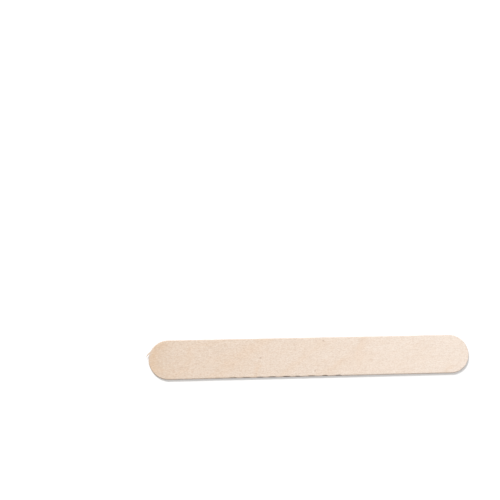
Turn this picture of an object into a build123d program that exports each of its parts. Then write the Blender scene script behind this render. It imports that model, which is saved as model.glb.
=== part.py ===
from build123d import *
from math import asin, cos, degrees
import os

# A disposable wooden tongue depressor: one flat blade with two full round ends.
# It is blanked out of a ribbon of peeled birch veneer with the grain along its length, dried flat, and
# tumbled in a drum until its rim is smooth enough for the mouth. Nothing is joined to it.
# Frame: +X runs along the blade and its grain, +Y across it, and +Z up off the face it rests on.
# The origin is the middle of that lower face. Sizes are in millimetres.

# The three sizes that the blade is sold by
length = 150.0  # tip to tip
width = 18.0  # across the two straight sides
thickness = 1.6  # of the veneer, face to face

# The section that tumbling leaves on the cut wall, the same all the way round the outline
rim_radius = 0.38  # of the worn corner between each face and the wall
wall_radius = 2.0  # of the slight bulge that is left of the wall between the two corners

# What follows from those sizes
half_width = width / 2
middle_height = thickness / 2
straight_run = length - width  # between the centres of the round ends
end_centre = straight_run / 2

# The corner arcs meet the bulge where both have this slope, measured from the horizontal
meeting_angle = asin((middle_height - rim_radius) / (wall_radius - rim_radius))
bulge_centre = half_width - wall_radius
rim_centre = bulge_centre + (wall_radius - rim_radius) * cos(meeting_angle)


def half_section(plane):
    """Half of the blade's cross-section, from the middle of its width out to the wall: a flat below and
    a flat above, joined by a corner arc, the wall's bulge and the other corner arc, each tangent to the
    next. The plane's own x runs outwards and its y runs up from the lower face."""
    slope = degrees(meeting_angle)
    square_to_face = 90.0
    with BuildSketch(plane) as section:
        with BuildLine():
            Line((0, 0), (rim_centre, 0))
            CenterArc((rim_centre, rim_radius), rim_radius, -square_to_face, square_to_face - slope)
            CenterArc((bulge_centre, middle_height), wall_radius, -slope, 2 * slope)
            CenterArc((rim_centre, thickness - rim_radius), rim_radius, slope, square_to_face - slope)
            Line((rim_centre, thickness), (0, thickness))
            Line((0, thickness), (0, 0))
        make_face()
    return section.sketch


def blade():
    """The half section run along one straight side, turned half a circle about the centre of the round
    end, and both mirrored, so that the worn rim is one unbroken band round the whole outline."""
    half_turn = 180.0
    start = Plane(origin=(end_centre, 0, 0), x_dir=(0, -1, 0), z_dir=(-1, 0, 0))
    section = half_section(start)
    side = extrude(section, amount=straight_run)
    round_end = revolve(section, Axis((end_centre, 0, 0), (0, 0, 1)), half_turn)
    return side + mirror(side, Plane.XZ) + round_end + mirror(round_end, Plane.YZ)


os.makedirs("parts", exist_ok=True)
export_step(blade(), "parts/blade.step")
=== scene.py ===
# %% [markdown]
# This lesson dresses a wooden tongue depressor: one flat blade of birch veneer with two full round ends.
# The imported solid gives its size. What is left for Blender is what makes it wood: the fibres, the slanting
# growth lines, the rubbed rim, the darker cut wall, and the light that shows them. The solid is loaded
# first, because every size below is read from it.

# %% Load the solid model
from math import asin, cos, pi, radians, sin, sqrt

import bpy
import numpy as np
from mathutils import Matrix, Vector


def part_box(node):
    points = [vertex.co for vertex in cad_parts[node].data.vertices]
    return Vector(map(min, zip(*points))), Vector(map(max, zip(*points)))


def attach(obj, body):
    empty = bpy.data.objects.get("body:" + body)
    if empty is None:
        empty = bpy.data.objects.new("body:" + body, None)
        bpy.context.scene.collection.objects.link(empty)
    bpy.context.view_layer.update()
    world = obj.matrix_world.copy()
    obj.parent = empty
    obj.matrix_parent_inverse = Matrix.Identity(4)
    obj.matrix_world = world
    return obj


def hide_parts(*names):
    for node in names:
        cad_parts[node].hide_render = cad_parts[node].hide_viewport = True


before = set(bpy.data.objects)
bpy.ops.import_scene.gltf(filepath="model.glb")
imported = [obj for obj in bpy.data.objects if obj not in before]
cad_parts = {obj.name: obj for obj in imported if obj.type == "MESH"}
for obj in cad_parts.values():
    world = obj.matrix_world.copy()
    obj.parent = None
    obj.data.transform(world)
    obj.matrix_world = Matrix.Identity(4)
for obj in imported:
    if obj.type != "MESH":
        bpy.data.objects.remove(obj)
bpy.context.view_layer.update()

lowest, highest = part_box("blade")
length, width, thickness = highest - lowest
half_width = width / 2
half_thickness = thickness / 2
mm = 0.001
print("blade, in mm:", round(length / mm, 2), round(width / mm, 2), round(thickness / mm, 2))

# %% [markdown]
# The cut wall of a real blade isn't square. Blades are tumbled in a drum, which wears each corner to a
# small round and leaves the wall between them slightly bulged. A Bevel modifier could round the corners,
# but it wouldn't give the bulge, so the section is worked out as a profile: a quarter round, a slight bulge
# and a second quarter round, each tangent to the next. It has the same form as the solid's.

# %% The section of the wall
rim_radius = 0.38 * mm
wall_radius = 2.0 * mm
corner_steps = 5
bulge_steps = 6

meeting_angle = asin((half_thickness - rim_radius) / (wall_radius - rim_radius))
bulge_centre = half_width - wall_radius
face_half_width = bulge_centre + (wall_radius - rim_radius) * cos(meeting_angle)


def wall_section():
    """Points from the edge of the upper face, out round the wall, to the edge of the lower face.

    Each point is an arc's centre plus its radius, turned by an angle that falls from 90 to -90 degrees.
    Returned are how far the points stand out from the face's edge, their heights, and their directions, as
    out and up.
    """
    upper = np.linspace(pi / 2, meeting_angle, corner_steps + 1)
    bulge = np.linspace(meeting_angle, -meeting_angle, bulge_steps + 1)[1:-1]
    angle = np.concatenate([upper, bulge, -upper[::-1]])
    on_bulge = np.abs(angle) < meeting_angle
    radius = np.where(on_bulge, wall_radius, rim_radius)
    centre_out = np.where(on_bulge, bulge_centre, face_half_width)
    centre_up = np.where(angle > 0, thickness - rim_radius, rim_radius)
    centre_up = np.where(on_bulge, half_thickness, centre_up)
    out = centre_out + radius * np.cos(angle) - face_half_width
    up = centre_up + radius * np.sin(angle)
    return out, up, np.cos(angle), np.sin(angle)


section_out, section_up, facing_out, facing_up = wall_section()
print("points in the section:", len(section_out))
print("the wall stands out by", round(section_out.max() / mm, 3), "mm")

# %% [markdown]
# Each flat face is a grid of rows across the blade. The rows are half a millimetre apart along the straight
# run, and in the round ends they follow equal turns of the end's arc, so that the outline stays smooth. The
# columns are finer, because what there is to see on wood changes quickly across the grain and slowly along
# it.

# %% Rows along the blade and columns across it
row_step = 0.5 * mm
end_rows = 36
columns = 128
end_centre = length / 2 - half_width


def row_places():
    """Where each row crosses the middle line, and half its width.

    In a round end they are the sine and the cosine of equal turns, times the end's radius. Along the
    straight run the rows are evenly spaced and all of one width.
    """
    turn = np.linspace(0, pi / 2, end_rows + 1)
    end_x = end_centre + face_half_width * np.sin(turn)
    end_half = face_half_width * np.cos(turn)
    run = np.linspace(-end_centre, end_centre, round(2 * end_centre / row_step) + 1)[1:-1]
    x = np.concatenate([-end_x[::-1], run, end_x])
    half = np.concatenate([end_half[::-1], np.full(len(run), face_half_width), end_half])
    half[[0, -1]] = 0
    return x, half


row_x, row_half = row_places()
rows = len(row_x) - 1
print("rows:", rows, "columns:", columns)

# %% [markdown]
# Wood needs random detail that comes out the same in each run. A seeded table of random numbers, blended
# smoothly between its cells, gives it. This is value noise, a simple kin of the Noise Texture node's. With
# cells that are long in X and narrow in Y it makes fibres.

# %% A seeded noise with long cells
table_size = 256


def cell_noise(x, y, cell_x, cell_y, seed):
    """A random height from -1 to 1 at each corner of a grid of cells, and inside a cell a smooth blend of
    its four corners."""
    table = np.random.default_rng(seed).uniform(-1, 1, (table_size, table_size))
    column, along = np.divmod(x / cell_x, 1)
    row, across = np.divmod(y / cell_y, 1)
    column = column.astype(int)
    row = row.astype(int)
    along = along * along * (3 - 2 * along)
    across = across * across * (3 - 2 * across)

    def corner(right, up):
        return table[(column + right) % table_size, (row + up) % table_size]

    near = corner(0, 0) * (1 - along) + corner(1, 0) * along
    far = corner(0, 1) * (1 - along) + corner(1, 1) * along
    return near * (1 - across) + far * across


# %% [markdown]
# A peeled face cuts the log's yearly rings at a very flat angle, so they show as tan lines that slant
# across the blade, sharp on one side and fading on the other. They are listed in millimetres from
# the blade's middle, as the few points where each line crosses the width. A faint family of finer lines
# runs beside them. The rings go through the thickness at a slant too, so on the lower face each line lies a
# little further along.

# %% Growth lines
sharp_side = 0.8 * mm
# Each line: its strength, in how many mm it fades, and the places (x, y) that it passes, near side first
growth_lines = [
    # The first line follows the left tip's outline and makes the tip darker and more tan towards its edge
    (1.90, 3.6, [(-74.8, -3.5), (-73.6, 2.0), (-70.2, 7.5)]),
    (0.30, 2.0, [(-66.1, -8.8), (-62.9, -6.3), (-60.8, -4.4)]),
    (0.42, 1.6, [(-58.2, -3.9), (-56.9, -0.5), (-56.2, 4.3)]),
    (0.60, 1.8, [(-48.4, -9.0), (-38.7, -1.5), (-30.8, 3.4), (-23.4, 9.0)]),
    (0.62, 2.0, [(-45.4, -9.0), (-35.7, -1.5), (-27.8, 3.4), (-20.4, 9.0)]),
    (0.85, 1.4, [(-27.1, -9.0), (-26.2, -5.9), (-25.2, -3.8)]),
    (0.42, 1.8, [(-15.4, -9.0), (-8.4, -3.3), (-2.9, 1.2)]),
    (0.25, 1.8, [(-1.1, 1.8), (2.6, 4.9), (5.8, 8.8)]),
    (0.48, 2.8, [(5.2, -9.0), (12.0, -2.7), (19.5, 0.8)]),
    (0.72, 2.8, [(20.8, 0.2), (22.4, 4.0), (24.0, 9.0)]),
    (0.50, 2.0, [(63.0, -9.0), (64.5, -6.8)]),
]
waver_cell = 3.0 * mm
waver = 0.6 * mm
feather_long, feather_fine = 5.0 * mm, 0.45 * mm
feather = 0.8 * mm


def growth_line(x, y, fading, places):
    """From 0 to 1: how strongly the line through these places shows.

    It is a bell of the distance from the line, narrow on the left and wide on the right, that fades out past
    the first and last place. Noise with long, fine cells pulls the line back and forth, which feathers its
    edges.
    """
    line_x, line_y = np.array(places).T * mm
    slope = np.polyfit(line_y, line_x, 1)[0]
    centre = np.interp(y, line_y, line_x) + waver * cell_noise(x, y, waver_cell, waver_cell, seed=11)
    centre = centre + feather * cell_noise(x, y, feather_long, feather_fine, seed=12)
    distance = (x - centre) / sqrt(1 + slope * slope)
    reach = np.where(distance < 0, sharp_side, fading)
    past_end = np.maximum(np.maximum(line_y[0] - y, y - line_y[-1]), 0) / fading
    return np.exp(-((distance / reach) ** 2) - past_end**2)


# The faint lines: how far apart, how much they slant, wander and stand out, and the power that narrows them
faint_spacing = 5.2 * mm
faint_slant = 1.45
faint_strength = 0.16
faint_wander = 0.8
wander_cell = (14.0 * mm, 6.0 * mm)
narrowing = 3
# Patches multiply the strength of all lines: by what on average, and by how much more or less
patch_level, patch_swing = 0.85, 0.25
patch_cell = (7.0 * mm, 2.2 * mm)
# How much further along a line lies on the lower face
ring_shift = 4.0 * mm


def growth_figure(x, y, z):
    """From 0 to about 2: the strongest of the placed lines, plus a row of soft ridges, cosines of a
    wandering phase, lifted to run from 0 to 1 and narrowed by a power. Slow patches make both stronger and
    weaker."""
    x = x - ring_shift * (1 - z / thickness)
    total = np.zeros_like(x)
    for strength, fading, places in growth_lines:
        total = np.maximum(total, strength * growth_line(x, y, fading * mm, places))
    wander = faint_wander * cell_noise(x, y, *wander_cell, seed=13)
    phase = (x - faint_slant * y) / faint_spacing + wander
    total = total + faint_strength * (0.5 + 0.5 * np.cos(2 * pi * phase)) ** narrowing
    return total * (patch_level + patch_swing * cell_noise(x, y, *patch_cell, seed=14))


print("growth lines placed by hand:", len(growth_lines))

# %% [markdown]
# The faces aren't perfectly flat. Drying raises the grain in low ridges, the growth lines stand a little
# lower than the wood between them, and open vessels leave short grooves. The lower face was the loose side
# of the ribbon as it came off the knife, and has deeper grooves, the small cracks of peeling. All of it is
# less than a tenth of a millimetre deep and only cuts into the face, so the blade keeps its size.

# %% Relief of the faces
ridge_depth = 0.012 * mm
ripple_depth = 0.010 * mm
line_depth = 0.012 * mm
groove_depth = {"upper": 0.022 * mm, "lower": 0.045 * mm}
# The cells of each noise, long in X and narrow in Y
ridge_cell = (9.0 * mm, 0.55 * mm)
ripple_cell = (30.0 * mm, 3.5 * mm)
groove_cell = (2.6 * mm, 0.26 * mm)
# A groove begins where its noise passes the first number, and is fully deep where it is higher by the second
groove_begins, groove_rise = 0.45, 0.40
first_seed = {"upper": 20, "lower": 40}


def face_relief(x, y, side):
    """How deep the surface lies: long ridges, a slow ripple and growth lines, plus short grooves where noise
    is high. Ridges and ripple are noise lifted to run from 0 to 1."""
    seed = first_seed[side]
    z = thickness if side == "upper" else 0
    ridges = 0.5 + 0.5 * cell_noise(x, y, *ridge_cell, seed)
    ripple = 0.5 + 0.5 * cell_noise(x, y, *ripple_cell, seed + 1)
    grooves = np.clip((cell_noise(x, y, *groove_cell, seed + 2) - groove_begins) / groove_rise, 0, 1)
    depth = ridge_depth * ridges + ripple_depth * ripple + groove_depth[side] * grooves
    return depth + line_depth * growth_figure(x, y, z)


# %% [markdown]
# The die leaves upright marks on the wall along the sides, and at the round ends, where it cuts across the
# fibres, a rougher surface. Both come from random numbers on the wall's own vertices, evened out with their
# neighbours. Because the outline closes on itself, rolling the array round keeps the marks free of a seam.
# Along the middle of the near side the grain runs out of the wall at a slight angle, and there the die has
# torn out a row of small bundles of fibre. Each left a hollow, a slanting oval, deeper to the right. The
# material paints the hollows very dark, darker to the right: a painted shade, which darkens the line along
# the near edge.

# %% Relief of the wall
mark_depth = 0.050 * mm
end_depth = 0.070 * mm
wave_depth = 0.040 * mm
# The hollows: their size, height on the wall, slant, how far each strays, and how far apart they lie
hollow_depth = 0.140 * mm
hollow_half_long = 2.4 * mm
hollow_half_high = 0.56 * mm
hollow_height = 1.26 * mm
hollow_slant = 0.10
hollow_strays = 0.4 * mm
hollow_spacing = 6.1 * mm
hollow_start = 5.8 * mm
# So many hollows differ before they repeat: by this share in height, and by this share in size
hollow_kinds = 16
height_differs = 0.06
size_differs = 0.20
# Four random numbers for each: how it strays, how much it is lifted, and how much longer and taller it is
hollow_own = np.random.default_rng(15).uniform(-1, 1, (4, hollow_kinds))
# Where the row begins, from here to there is at its deepest, and where it ends
hollow_run = np.array([-58.0, -22.0, 13.0, 15.5]) * mm
hollow_shown = [0, 1, 1, 0]


def torn_hollows(x, y, z):
    """From 0 to 1: 1 in the middle of each hollow, less by the square of the distance, and 0 from the oval's
    edge on. The hollows lie one spacing apart on the near side. Each differs a little in place, height and
    size."""
    order = (x - hollow_start) / hollow_spacing
    nearest = np.round(order).astype(int)
    stray, lift, longer, taller = hollow_own[:, nearest % hollow_kinds]
    along = (order - nearest) * hollow_spacing - hollow_strays * stray
    up = z - hollow_height * (1 + height_differs * lift) + hollow_slant * along
    long = hollow_half_long * (1 + size_differs * longer)
    high = hollow_half_high * (1 + size_differs * taller)
    oval = np.clip(1 - (along / long) ** 2 - (up / high) ** 2, 0, 1)
    return np.where(y < 0, oval * np.interp(x, hollow_run, hollow_shown), 0)


def evened(values, times, axis):
    """Each value becomes a quarter of both neighbours plus half of itself, so many times over."""
    for _ in range(times):
        values = (np.roll(values, 1, axis) + 2 * values + np.roll(values, -1, axis)) / 4
    return values


def random_depth(shape, along, up, seed):
    """Random numbers evened out along the outline and up the wall, then scaled to run from 0 to 1."""
    values = np.random.default_rng(seed).normal(size=shape)
    values = evened(evened(values, along, 1), up, 0)
    return (values - values.min()) / np.ptp(values)


def wall_relief(end_share):
    """How deep each wall vertex lies: marks on the sides, roughness at the ends, and slow waves of wear all
    round."""
    shape = end_share.shape
    marks = mark_depth * random_depth(shape, along=2, up=8, seed=60)
    rough = end_depth * random_depth(shape, along=1, up=1, seed=61)
    waves = wave_depth * random_depth(shape, along=60, up=20, seed=62)
    return marks * (1 - end_share) + rough * end_share + waves


# %% [markdown]
# Now the blade's vertices. The face grids are sunk by their relief. The section is carried round the
# outline, and each of its points makes one ring. Where a ring faces up or down it takes the face's relief,
# and where it faces out the wall's, so that nothing breaks at the worn corners. Whole arrays are worked out
# at once: no loop goes over vertices.

# %% Vertices of the blade
across = np.linspace(-1, 1, columns + 1)
grid_x = np.repeat(row_x[1:-1, None], columns + 1, 1)
grid_y = row_half[1:-1, None] * across
tips = np.array([[row_x[0], 0], [row_x[-1], 0]])
face_places = np.concatenate([tips, np.stack([grid_x.ravel(), grid_y.ravel()], 1)])

# The outline runs from the left tip along the near side to the right tip, and back along the far side
outline_x = np.concatenate([row_x, row_x[-2:0:-1]])
outline_y = np.concatenate([-row_half, row_half[-2:0:-1]])
past_run = np.sign(outline_x) * np.maximum(np.abs(outline_x) - end_centre, 0)
outline_out = np.stack([past_run, outline_y]) / face_half_width


def face_vertices(side):
    """The two tips and then the grid of one face, sunk by the relief."""
    x, y = face_places.T
    depth = face_relief(x, y, side)
    z = thickness - depth if side == "upper" else depth
    return np.stack([x, y, z], 1)


def wall_vertices():
    """The rings between the two faces, with how far each vertex faces out and how far it cuts the fibres."""
    out, up, n_out, n_up = (a[1:-1, None] for a in (section_out, section_up, facing_out, facing_up))
    x = outline_x + out * outline_out[0]
    y = outline_y + out * outline_out[1]
    z = up + 0 * x
    end_share = outline_out[0] ** 2 + 0 * x
    from_face = np.where(n_up > 0, face_relief(x, y, "upper"), face_relief(x, y, "lower"))
    depth = from_face * n_up**2 + (wall_relief(end_share) + hollow_depth * torn_hollows(x, y, z)) * n_out**2
    print("deepest cut in the wall, in mm:", round(depth.max() / mm, 3))
    x = x - depth * n_out * outline_out[0]
    y = y - depth * n_out * outline_out[1]
    z = z - depth * n_up
    return np.stack([x, y, z], -1).reshape(-1, 3), (n_out**2 + 0 * x).ravel(), end_share.ravel()


upper = face_vertices("upper")
lower = face_vertices("lower")
around, facing_share, end_share = wall_vertices()
print("vertices:", len(upper), "on each face and", len(around), "on the wall")

# %% [markdown]
# A mesh is vertices, and faces that name them by number. Every surface here is a grid of vertex numbers,
# and one function turns such a grid into faces. It also lays the same grid on a UV map, a flat plan of the
# surface that the colours can be baked into when the blade is used elsewhere. Where a row has shrunk to one
# point, as at a tip, its quads have a repeated corner. Dropping that corner makes triangles, which close
# the pole.

# %% From grids of vertex numbers to faces


def grid_faces(numbers, u, v):
    """Each cell of the grid as four vertex numbers and four places on the map, and which corners to keep."""

    def corners(grid):
        return np.stack([grid[:-1, :-1], grid[1:, :-1], grid[1:, 1:], grid[:-1, 1:]], -1).reshape(-1, 4)

    number = corners(numbers)
    kept = number != np.roll(number, 1, axis=1)
    return number, np.stack([corners(u), corners(v)], -1), kept


# Heights of the map's strips: two faces, the near and the far half of the wall, and the lifted sliver
strip_gap = 0.01
strip_heights = {"upper": 0.40, "lower": 0.40, "near": 0.065, "far": 0.065, "sliver": 0.02}


def strip(name, u, v):
    """u and v, each from 0 to 1, squeezed into the strip with that name."""
    names = list(strip_heights)
    below = sum(strip_heights[n] + strip_gap / 2 for n in names[: names.index(name)])
    return strip_gap + (1 - 2 * strip_gap) * u, strip_gap / 2 + below + strip_heights[name] * v


# %% [markdown]
# The blade is made of four such grids: the two faces, and the two halves of the wall. The first and last
# rings of the wall are the edges of the faces themselves, so the blade is one closed skin. A small patch of
# the wall near the left tip is left open, because something grows out of it.

# %% Faces of the blade
inner = len(tips) + np.arange((rows - 1) * (columns + 1)).reshape(rows - 1, columns + 1)
left_row = np.full((1, columns + 1), 0)
right_row = np.full((1, columns + 1), 1)
face_numbers = np.concatenate([left_row, inner, right_row])
face_edge = np.concatenate([face_numbers[:, 0], face_numbers[-2:0:-1, -1]])

rings = 2 * len(upper) + np.arange(len(around)).reshape(-1, len(outline_x))
rings = np.concatenate([[face_edge], rings, [face_edge + len(upper)]])
rings = np.concatenate([rings, rings[:, :1]], 1)

# The open patch: which ring of the wall, and from which row to which, counted from the left tip
patch_ring = 5
patch_from, patch_to = 7, 11
patch_rings = slice(patch_ring, patch_ring + 1)
patch_columns = slice(rows - patch_to, rows - patch_from)


def blade_faces():
    """The four grids as faces. On a face, u and v are the place along and across the blade. On the wall, u
    is the row and v the ring. The lower face is turned over, so that it faces down."""
    x = np.repeat(row_x[:, None], columns + 1, 1)
    y = row_half[:, None] * across
    u, v = x / length + 0.5, y / width + 0.5
    ring_v = np.repeat(np.linspace(0, 1, len(rings))[:, None], rows + 1, 1)
    ring_u = np.repeat(np.linspace(0, 1, rows + 1)[None], len(rings), 0)
    far_half = grid_faces(rings[:, rows:], *strip("far", ring_u, ring_v))
    closed = np.full((len(rings) - 1, rows), True)
    closed[patch_rings, patch_columns] = False
    return [
        grid_faces(face_numbers, *strip("upper", u, v)),
        grid_faces(face_numbers[:, ::-1] + len(upper), *strip("lower", u, v)),
        grid_faces(rings[:, : rows + 1], *strip("near", ring_u, ring_v)),
        tuple(part[closed.ravel()] for part in far_half),
    ]


print("faces:", sum(len(number) for number, _, _ in blade_faces()))

# %% [markdown]
# At the left tip the die has lifted a sliver of the wall, about three millimetres long, which stands off
# the wood and ends free beyond the tip. It could be a separate tube pushed into the blade, but then two
# skins would cross. Here the open patch's own edge is carried outwards along a curve. It changes to a flat
# oval, thins out and closes in a point, so the sliver and the blade stay one skin.

# %% The lifted sliver
sliver_bend = np.array([-75.3, 2.9, 1.25]) * mm
sliver_end = np.array([-76.1, 1.3, 1.35]) * mm
sliver_half_wide = 0.30 * mm
sliver_half_high = 0.11 * mm
sliver_steps = 20
# The share of its length over which the patch's edge turns into the oval
root_share = 0.25
# Where a ring begins, so that it meets the patch's edge untwisted
first_turn = 0.9 * pi
# How much its size differs, and in how many patches along it and in each radian round it
sliver_fray = 0.2
fray_along, fray_round = 9, 2


def patch_edge():
    """The vertex numbers round the open patch: along its top, down, back along its bottom, and up."""
    top, bottom = patch_rings.start, patch_rings.stop
    first, last = rows + patch_columns.start, rows + patch_columns.stop
    there, back = rings[top, first:last], rings[bottom, last:first:-1]
    return np.concatenate([there, rings[top:bottom, last], back, rings[bottom:top:-1, first]])


def sliver_vertices(edge):
    """A quadratic curve from the patch's middle, drawn towards the bend, to the end, a ring at each step.

    A ring is an oval square to the curve in plan. It shrinks with the square root of what is left of the
    length, and noise frays it. Near the root it is blended with the patch's edge.
    """
    root = edge.mean(0)
    t = np.linspace(0, 1, sliver_steps + 1)[1:, None, None]
    turn = np.linspace(first_turn, first_turn - 2 * pi, len(edge), endpoint=False)[None, :, None]
    centre = (1 - t) ** 2 * root + 2 * t * (1 - t) * sliver_bend + t**2 * sliver_end
    way = (1 - t) * (sliver_bend - root) + t * (sliver_end - sliver_bend)
    aside = np.cross([0, 0, 1], way)
    aside = aside / np.linalg.norm(aside, axis=-1, keepdims=True)
    frayed = 1 + sliver_fray * cell_noise(fray_along * t, fray_round * turn, 1, 1, seed=70)
    size = np.sqrt(1 - t) * frayed
    oval = size * (sliver_half_wide * np.cos(turn) * aside + sliver_half_high * np.sin(turn) * [0, 0, 1])
    from_edge = np.clip(1 - t / root_share, 0, 1) ** 2
    ring = centre + (1 - from_edge) * oval + from_edge * (edge - root)
    return np.concatenate([ring[:-1].reshape(-1, 3), centre[-1]])


def sliver_faces(edge_numbers, first):
    """The grid of the edge, the rings from vertex number first on, and the end point, closed round."""
    inner = first + np.arange((sliver_steps - 1) * len(edge_numbers)).reshape(-1, len(edge_numbers))
    end = np.full((1, len(edge_numbers)), inner[-1, -1] + 1)
    numbers = np.concatenate([[edge_numbers], inner, end])
    numbers = np.concatenate([numbers, numbers[:, :1]], 1)
    u, v = np.meshgrid(*(np.linspace(0, 1, n) for n in numbers.shape), indexing="ij")
    return grid_faces(numbers, *strip("sliver", u, v))


vertices = np.concatenate([upper, lower, around])
sliver = sliver_vertices(vertices[patch_edge()])
all_faces = [*blade_faces(), sliver_faces(patch_edge(), len(vertices))]
vertices = np.concatenate([vertices, sliver])
print("the sliver ends", round((-length / 2 - sliver[-1, 0]) / mm, 2), "mm off the tip")

# %% [markdown]
# The arrays go into a Blender mesh in a few calls, with the UV map beside them. Its volume is a good test:
# it comes out positive only if the faces point outwards, and close to the solid's only if none is missing.

# %% Make the mesh
number, place_on_map, kept = (np.concatenate(parts) for parts in zip(*all_faces))
corner_count = kept.sum(1)

mesh = bpy.data.meshes.new("veneer_blade")
mesh.vertices.add(len(vertices))
mesh.vertices.foreach_set("co", vertices.ravel())
mesh.loops.add(int(kept.sum()))
mesh.loops.foreach_set("vertex_index", number[kept])
mesh.polygons.add(len(number))
mesh.polygons.foreach_set("loop_start", np.cumsum(corner_count) - corner_count)
mesh.update(calc_edges=True)
mesh.uv_layers.new(name="OFBake").uv.foreach_set("vector", place_on_map[kept].astype(np.float32).ravel())
mesh.shade_smooth()
blade = bpy.data.objects.new("veneer_blade", mesh)
bpy.context.scene.collection.objects.link(blade)


def volume(number):
    """A sixth of the sum of each triangle's triple product. A repeated corner adds nothing."""
    a, b, c, d = (vertices[number[:, i]] for i in range(4))
    return (np.cross(a, b) * c).sum() / 6 + (np.cross(a, c) * d).sum() / 6


print("problems found and mended:", mesh.validate())
print("triangles:", int((corner_count - 2).sum()))
print("volume, in cubic mm:", round(volume(number) / mm**3, 1))

# %% [markdown]
# The material has to know where the growth lines run, how much of the surface is cut wall, where the wall
# cuts across the fibres, and where the torn hollows lie, on which it lays a painted shade. These are numbers
# on the vertices, which an Attribute node reads.

# %% Numbers on the vertices
corner_reach = 0.12


def keep_on_vertices(name, values):
    """Stores one number for each vertex."""
    layer = mesh.attributes.new(name, "FLOAT", "POINT")
    layer.data.foreach_set("value", values.astype(np.float32))


on_faces = np.zeros(2 * len(upper))
on_sliver = np.zeros(len(sliver))
keep_on_vertices("growth", growth_figure(*vertices.T))
wall_share = np.concatenate([on_faces, facing_share, on_sliver])
keep_on_vertices("wall", wall_share)
# The power, well below 1, lets the painted shade of the torn places reach up over the worn corner
keep_on_vertices("torn", wall_share**corner_reach * torn_hollows(*vertices.T))
keep_on_vertices("end_grain", np.concatenate([on_faces, facing_share * end_share, on_sliver]))
print("attributes:", [a.name for a in mesh.attributes if a.data_type == "FLOAT"])

# %% [markdown]
# Birch is pale and its grain is quiet, but it is never one flat colour. The material is built up in layers,
# as a painter would: one colour over another, by the share that a pattern gives. The patterns are noise on
# Object coordinates, stretched along the blade, so that they run on through the thickness and show as dots
# where the wall cuts the fibres. These helpers each add one or two nodes.

# %% Helpers for node materials


def object_place(tree):
    """Where a point lies, in the object's own coordinates."""
    return tree.nodes.new("ShaderNodeTexCoord").outputs["Object"]


def noise(tree, along, across, detail):
    """A noise whose spots are this many millimetres long on X and wide on Y and Z, from 0 to 1."""
    stretch = tree.nodes.new("ShaderNodeMapping")
    stretch.inputs["Scale"].default_value = Vector((1 / along, 1 / across, 1 / across)) / mm
    texture = tree.nodes.new("ShaderNodeTexNoise")
    texture.inputs["Scale"].default_value = 1
    texture.inputs["Detail"].default_value = detail
    tree.links.new(object_place(tree), stretch.inputs["Vector"])
    tree.links.new(stretch.outputs["Vector"], texture.inputs["Vector"])
    return texture.outputs["Fac"]


def between(tree, value, low, high, least=0.0, most=1.0):
    """The value's rise from low to high, as a smooth step from least to most."""
    step = tree.nodes.new("ShaderNodeMapRange")
    step.interpolation_type = "SMOOTHSTEP"
    for name, number in (("From Min", low), ("From Max", high), ("To Min", least), ("To Max", most)):
        step.inputs[name].default_value = number
    tree.links.new(value, step.inputs["Value"])
    return step.outputs["Result"]


def combine(tree, kind, first, second):
    """first and second put together by a Math node. second may be a number."""
    node = tree.nodes.new("ShaderNodeMath")
    node.operation = kind
    tree.links.new(first, node.inputs[0])
    if isinstance(second, (int, float)):
        node.inputs[1].default_value = second
    else:
        tree.links.new(second, node.inputs[1])
    return node.outputs["Value"]


def length_of(tree, vector):
    """How long the vector is."""
    node = tree.nodes.new("ShaderNodeVectorMath")
    node.operation = "LENGTH"
    tree.links.new(vector, node.inputs[0])
    return node.outputs["Value"]


def over(tree, below, above, share):
    """The colour above laid over the colour below, by share. Each is (r, g, b) or a socket."""
    mix = tree.nodes.new("ShaderNodeMix")
    mix.data_type = "RGBA"
    for socket, colour in ((mix.inputs["A"], below), (mix.inputs["B"], above)):
        if isinstance(colour, tuple):
            socket.default_value = (*colour, 1)
        else:
            tree.links.new(colour, socket)
    tree.links.new(share, mix.inputs["Factor"])
    return mix.outputs["Result"]


def on_vertices(tree, name):
    """A number that the mesh keeps on its vertices."""
    node = tree.nodes.new("ShaderNodeAttribute")
    node.attribute_name = name
    return node.outputs["Fac"]


# %% [markdown]
# The ground colour drifts along the blade, from a warmer, darker left end to a paler right half. This is
# partly the wood's own tone and partly painted light: the right half is painted brighter, as if lit more
# strongly, and the left end darker. The left tip is darker and browner still, which is painted shade. Over
# it go the grain layers, from broad to fine: slow clouds, long streaks, pale fibres, a fine speckle, and the
# vessels, the short brown dashes that mark birch. They differ only in their numbers, so they are one table.
# Colours are linear, and the strengths stay low.

# %% Grain of the faces
# The two ground colours are partly the wood's own tone and partly painted light: a brighter right half and a
# darker left end
warm_ground_and_shade = (0.786, 0.654, 0.543)
pale_ground_and_light = (0.936, 0.818, 0.721)
tan = (0.800, 0.560, 0.370)
fibre_brown = (0.640, 0.450, 0.300)
fibre_white = (0.950, 0.860, 0.760)
vessel_brown = (0.460, 0.290, 0.180)
# Painted shade: the colour that darkens the left tip
tip_painted_shade = (0.550, 0.420, 0.300)
growth_strength = 0.43
# Where the drift begins and ends, and how strong the layers are at both
drift_start, drift_end = -0.66 * length, 0.50 * length
contrast_at_ends = (1.66, 0.92)
# Where the painted shade of the tip begins and is fullest, and its share at both
tip_shade_step = (-58.0 * mm, -74.0 * mm, 0, 0.24)

# Each layer: its colour, then its noise, with spots so many mm long and wide and the detail, then where it
# begins to show in the noise and where it shows fully, and last its strength
grain_layers = {
    "clouds": (tan, (16.0, 5.0, 3), (0.40, 0.75), 0.11),
    "streaks": (fibre_brown, (6.0, 0.34, 4), (0.45, 0.80), 0.20),
    "fibres": (fibre_white, (1.5, 0.16, 3), (0.48, 0.75), 0.40),
    "speckle": (fibre_brown, (0.7, 0.42, 2), (0.35, 0.70), 0.28),
    "vessels": (vessel_brown, (1.7, 0.10, 2), (0.58, 0.66), 0.28),
    "hairlines": (vessel_brown, (9.0, 0.14, 1), (0.68, 0.76), 0.30),
}


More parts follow.
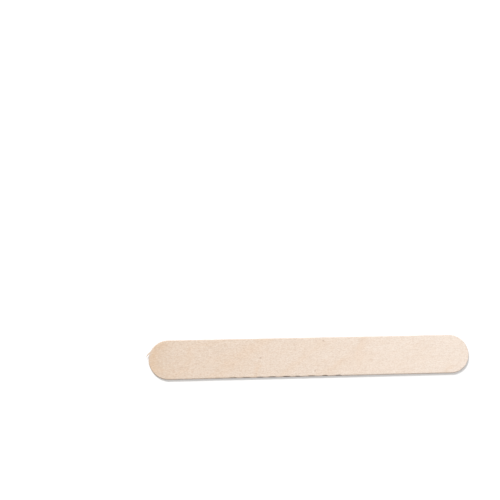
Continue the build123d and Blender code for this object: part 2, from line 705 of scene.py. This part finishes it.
def grain(tree):
    """The colour of the faces, and each layer's pattern by its name."""
    axes = tree.nodes.new("ShaderNodeSeparateXYZ")
    tree.links.new(object_place(tree), axes.inputs["Vector"])
    # Partly painted light: the drift paints the right half brighter and the left end darker
    colour = over(tree, warm_ground_and_shade, pale_ground_and_light, between(tree, axes.outputs["X"], drift_start, drift_end))
    growth = combine(tree, "MULTIPLY", on_vertices(tree, "growth"), growth_strength)
    colour = over(tree, colour, tan, growth)
    # Painted shade: the left tip is laid darker and browner
    colour = over(tree, colour, tip_painted_shade, between(tree, axes.outputs["X"], *tip_shade_step))
    contrast = between(tree, axes.outputs["X"], drift_start, drift_end, *contrast_at_ends)
    patterns = {}
    for name, (layer_colour, spot_size, step, strength) in grain_layers.items():
        patterns[name] = between(tree, noise(tree, *spot_size), *step)
        share = combine(tree, "MULTIPLY", combine(tree, "MULTIPLY", patterns[name], strength), contrast)
        colour = over(tree, colour, layer_colour, share)
    return colour, patterns


print("grain layers, from broad to fine:", list(grain_layers))

# %% [markdown]
# The worn rim is paler: partly rubbed pale by wear, and partly a painted highlight along the edge. The wall
# between the rims is a cut surface: darker than the faces, partly from its own browner tone and partly from
# painted shade, with the layers of the veneer as long thin lines and a rough tooth where the die tore the
# fibres. At the round ends it cuts straight across them, and there it is browner and full of open pores. The
# torn hollows are painted very dark, a painted shade, with a frayed edge. The attributes say which part of
# the surface is which, and the tooth breaks up the border between them.

# %% Rim and wall
# The wall's colour is partly its own browner tone and partly painted shade, which darkens the near wall
wall_tone_and_shade = (0.590, 0.410, 0.275)
end_brown = (0.330, 0.200, 0.120)
# Painted shade: the very dark colour laid in the torn hollows
hollow_painted_shade = (0.080, 0.044, 0.026)
# Partly a painted highlight: how strongly the rim is laid paler, both as wear and as light along the edge
rim_wear_and_highlight = 0.30
wall_strength = 0.70
# Of the three noises: how many mm long and wide, and the detail
tooth_size = (0.45, 0.12, 3)
layer_size = (10.0, 0.10, 3)
fray_size = (2.2, 0.13, 4)
# How far the tooth breaks up the border, and how far the fray breaks up the hollows' painted shade
tooth_in_border = 0.35
fray_in_hollow_shade = 1.60
# Pairs are where a step starts and ends. Where there are four numbers, the last two are what it gives there
rim_begins = (0.0, 0.25)
rim_ends = (1.0, 0.5)
wall_begins = (0.60, 1.10, 0, wall_strength)
layer_step = (0.48, 0.62, 0, 0.50)
pore_step = (0.35, 0.65, 0.85, 0.20)
hollow_shade_step = (0.86, 1.56, 0, 1)
hollow_shade_inside = (0.02, 0.30)


def rim_and_wall(tree, colour):
    """The colour with the rim and the wall laid over it, the rim's share, and the height of the wall's
    tooth."""
    wall = on_vertices(tree, "wall")
    end_grain = on_vertices(tree, "end_grain")
    tooth = noise(tree, *tooth_size)
    broken = combine(tree, "ADD", wall, combine(tree, "MULTIPLY", tooth, tooth_in_border))
    rim = combine(tree, "MULTIPLY", between(tree, wall, *rim_begins), between(tree, broken, *rim_ends))
    # Painted highlight in part: the rim is laid paler, partly as wear and partly as light catching the edge
    colour = over(tree, colour, fibre_white, combine(tree, "MULTIPLY", rim, rim_wear_and_highlight))
    # Partly painted shade: the wall is laid darker than the faces
    colour = over(tree, colour, wall_tone_and_shade, between(tree, broken, *wall_begins))
    layers = between(tree, noise(tree, *layer_size), *layer_step)
    colour = over(tree, colour, vessel_brown, combine(tree, "MULTIPLY", layers, wall))
    pores = between(tree, tooth, *pore_step)
    colour = over(tree, colour, end_brown, combine(tree, "MULTIPLY", pores, end_grain))
    torn = on_vertices(tree, "torn")
    fray = combine(tree, "MULTIPLY", noise(tree, *fray_size), fray_in_hollow_shade)
    frayed = between(tree, combine(tree, "ADD", torn, fray), *hollow_shade_step)
    inside = between(tree, torn, *hollow_shade_inside)
    # Painted shade: the torn hollows are laid very dark
    colour = over(tree, colour, hollow_painted_shade, combine(tree, "MULTIPLY", frayed, inside))
    return colour, rim, combine(tree, "MULTIPLY", combine(tree, "SUBTRACT", tooth, layers), wall)


# %% [markdown]
# A few dark specks, small pin knots, sit in the upper face, and one has a pale chip beside it. Each is a
# spot of its own: the coordinates are moved to its middle and divided by its half sizes, so that their
# length is 1 at the spot's edge.

# %% Specks
speck_brown = (0.360, 0.190, 0.090)
# The distance from a spot's middle within which it has its full strength, where 1 is its edge
spot_core = 0.1
# Where each spot is, in mm from the middle, with half its length and half its width, and its strength
specks = [
    ((-23.8, 0.0), (0.80, 0.70), 0.44),
    ((-24.9, 1.6), (0.60, 0.60), 0.16),
    ((5.8, 7.4), (0.70, 0.60), 0.34),
    ((1.2, -6.5), (0.70, 0.65), 0.36),
]
chips = [((0.4, -7.0), (0.55, 0.80), 0.55)]


def spots_share(tree, spots):
    """From 0 to 1: how far a point lies in one of the spots, times that spot's strength."""
    total = None
    for (x, y), (half_long, half_wide), strength in spots:
        scale = Vector((1 / half_long, 1 / half_wide, 1 / half_long)) / mm
        to_spot = tree.nodes.new("ShaderNodeMapping")
        to_spot.inputs["Scale"].default_value = scale
        to_spot.inputs["Location"].default_value = -scale * Vector((x * mm, y * mm, thickness))
        tree.links.new(object_place(tree), to_spot.inputs["Vector"])
        distance = length_of(tree, to_spot.outputs["Vector"])
        spot = between(tree, distance, 1.0, spot_core, 0, strength)
        total = spot if total is None else combine(tree, "ADD", total, spot)
    return total


print("specks:", len(specks), "pale chips:", len(chips))

# %% [markdown]
# Bare wood is matt. Its roughness differs a little: more in the vessels, less on the rubbed rim. A Bump
# node gives the detail that is too fine for the mesh: fibres stand up, vessels and hairlines are open
# grooves, and the wall has its tooth. The specks lie a little lower. A value that is the same everywhere,
# such as the strength of the gloss, is set on the shader's own socket.

# %% Pale birch
shine = 0.35
roughness_range = (0.54, 0.66)
# What each pattern adds to the roughness, and to the height
rougher = {"vessels": 0.12, "rim": -0.10}
higher = {"fibres": 1.0, "vessels": -0.9, "hairlines": -0.9, "tooth": 2.5}
bump_strength = 0.6
bump_depth = 0.04 * mm
speck_depth = -0.3


def weighted_sum(tree, total, patterns, weights):
    """The total, plus each pattern that has a weight, times that weight."""
    for name, weight in weights.items():
        total = combine(tree, "ADD", total, combine(tree, "MULTIPLY", patterns[name], weight))
    return total


def birch():
    """The whole finish of the blade as one material."""
    material = bpy.data.materials.new("pale_birch")
    material.use_nodes = True
    tree = material.node_tree
    shader = tree.nodes["Principled BSDF"]
    colour, pattern = grain(tree)
    colour, pattern["rim"], pattern["tooth"] = rim_and_wall(tree, colour)
    speck = spots_share(tree, specks)
    colour = over(tree, colour, fibre_white, spots_share(tree, chips))
    colour = over(tree, colour, speck_brown, speck)
    tree.links.new(colour, shader.inputs["Base Color"])

    rough = between(tree, pattern["streaks"], 0, 1, *roughness_range)
    rough = weighted_sum(tree, rough, pattern, rougher)
    tree.links.new(rough, shader.inputs["Roughness"])
    shader.inputs["Specular IOR Level"].default_value = shine

    bump = tree.nodes.new("ShaderNodeBump")
    bump.inputs["Strength"].default_value = bump_strength
    bump.inputs["Distance"].default_value = bump_depth
    height = combine(tree, "MULTIPLY", speck, speck_depth)
    tree.links.new(weighted_sum(tree, height, pattern, higher), bump.inputs["Height"])
    tree.links.new(bump.outputs["Normal"], shader.inputs["Normal"])
    return material


mesh.materials.append(birch())
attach(blade, "root")
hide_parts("blade")
print("nodes in the material:", len(mesh.materials[0].node_tree.nodes))

# %% [markdown]
# The blade lies on a white floor. To the camera the floor reads as plain white, because a part of its light
# is its own, for camera, glossy and transmission rays only. The rest is the lamps' light, so the blade's
# soft shadow still shows. Away from the blade, where the lamps' light falls off, the floor's own part
# rises, so that it stays white out to its edge. To the blade the floor is an ordinary pale surface that
# throws some light back.

# %% Floor
# Half its side, in metres
floor_half = 4.0
floor_colour = (0.80, 0.80, 0.80)
glow_by_blade, glow_far = 0.24, 1.0
# How far from the middle of the blade the glow begins to rise, and where it is full, in metres
glow_rise = (0.08, 0.50)


def seen_directly(tree):
    """1 for camera, glossy and transmission rays, and 0 for the light that falls on the blade."""
    path = tree.nodes.new("ShaderNodeLightPath")
    total = combine(tree, "MAXIMUM", path.outputs["Is Camera Ray"], path.outputs["Is Glossy Ray"])
    return combine(tree, "MAXIMUM", total, path.outputs["Is Transmission Ray"])


def floor_material():
    """A matt pale floor, with a glow that only direct rays see."""
    material = bpy.data.materials.new("white_floor")
    material.use_nodes = True
    tree = material.node_tree
    shader = tree.nodes["Principled BSDF"]
    shader.inputs["Base Color"].default_value = (*floor_colour, 1)
    shader.inputs["Roughness"].default_value = 1
    shader.inputs["Specular IOR Level"].default_value = 0
    shader.inputs["Emission Color"].default_value = (1, 1, 1, 1)
    distance = length_of(tree, object_place(tree))
    glow = between(tree, distance, *glow_rise, glow_by_blade, glow_far)
    tree.links.new(combine(tree, "MULTIPLY", glow, seen_directly(tree)), shader.inputs["Emission Strength"])
    return material


floor_mesh = bpy.data.meshes.new("floor")
corners = floor_half * np.array([[-1, -1, 0], [1, -1, 0], [1, 1, 0], [-1, 1, 0]])
floor_mesh.from_pydata(corners, [], [(0, 1, 2, 3)])
floor_mesh.materials.append(floor_material())
floor = bpy.data.objects.new("floor", floor_mesh)
bpy.context.scene.collection.objects.link(floor)
print("the floor is", 2 * floor_half, "m wide")

# %% [markdown]
# A large soft lamp hangs high behind the blade and to its left, so the near wall is in shade, and a short
# shadow runs along it and on round the right end. It is far enough off to light both ends alike. A weak
# lamp fills from the front right, and the white world lights the rest. Their sum is set so that a colour
# renders about as it is written.

# %% Lamps and world
# Places and sizes are in metres, and the power of a lamp in watts
key_place = Vector((-1.10, 1.80, 2.60))
key_size = 0.70
key_power = 85.2
fill_place = Vector((0.80, -0.70, 1.20))
fill_size = 1.00
fill_power = 1.0
world_strength = 0.441


def soft_lamp(name, place, size, power):
    """A square area lamp at that place, turned to the blade. The camera doesn't see it."""
    data = bpy.data.lights.new(name, "AREA")
    data.shape = "SQUARE"
    data.size = size
    data.energy = power
    lamp = bpy.data.objects.new(name, data)
    lamp.location = place
    lamp.rotation_mode = "QUATERNION"
    lamp.rotation_quaternion = (-place).to_track_quat("-Z", "Y")
    lamp.visible_camera = False
    bpy.context.scene.collection.objects.link(lamp)


soft_lamp("key", key_place, key_size, key_power)
soft_lamp("fill", fill_place, fill_size, fill_power)


def white_world():
    """A level of white light from all round, which the camera sees as plain white."""
    world = bpy.data.worlds.new("white_world")
    world.use_nodes = True
    tree = world.node_tree
    background = tree.nodes["Background"]
    background.inputs["Color"].default_value = (1, 1, 1, 1)
    strength = between(tree, seen_directly(tree), 0, 1, world_strength, 1)
    tree.links.new(strength, background.inputs["Strength"])
    return world


bpy.context.scene.world = white_world()
bpy.context.scene.view_settings.view_transform = "Standard"
print("key lamp", round(key_place.length, 2), "m off and fill lamp", round(fill_place.length, 2), "m off")

# %% [markdown]
# The camera looks down on the blade from in front, eight and a half degrees off the vertical towards the
# near side and nearly eleven towards the left end. A slight roll makes the blade's length rise to the
# right. The lens is an 85 mm one about half a metre off, near enough for the left end to look a little
# larger than the right one. The blade isn't in the middle of the picture, so the camera is turned until the
# blade's centre falls on the pixel where it belongs, which needs no lens shift.

# %% Camera
lean_along = radians(10.7)
lean_across = radians(8.57)
roll = radians(1.385)
lens = 85
sensor = 36
picture_size = 500
blade_pixel = (311.75, 356.7)
camera_distance = 0.547
# How far the camera sees, in metres, which takes in the floor's far corners
sight = 50


def aimed_camera():
    """The camera's matrix. Its axes come from the direction of view, and are then turned so that the ray
    through the blade's pixel meets the blade's centre."""
    back = Vector((-sin(lean_along), -sin(lean_across), 0))
    back.z = sqrt(1 - back.length_squared)
    along = (Vector((1, 0, 0)) - back * back.x).normalized()
    across = back.cross(along)
    right = cos(roll) * along - sin(roll) * across
    up = sin(roll) * along + cos(roll) * across
    straight_on = Matrix((right, up, back)).transposed()
    half_picture = picture_size / 2
    lens_in_pixels = lens / sensor * picture_size
    to_blade = Vector((blade_pixel[0] - half_picture, half_picture - blade_pixel[1], -lens_in_pixels))
    turn = Vector((0, 0, -1)).rotation_difference(to_blade).to_matrix()
    matrix = (straight_on @ turn.inverted()).to_4x4()
    matrix.translation = Vector((0, 0, thickness)) + camera_distance * back
    return matrix


camera_data = bpy.data.cameras.new("camera")
camera_data.lens = lens
camera_data.sensor_width = sensor
camera_data.clip_end = sight
camera = bpy.data.objects.new("camera", camera_data)
camera.matrix_world = aimed_camera()
bpy.context.scene.collection.objects.link(camera)
bpy.context.scene.camera = camera
print("camera at", [round(x, 3) for x in camera.matrix_world.translation])
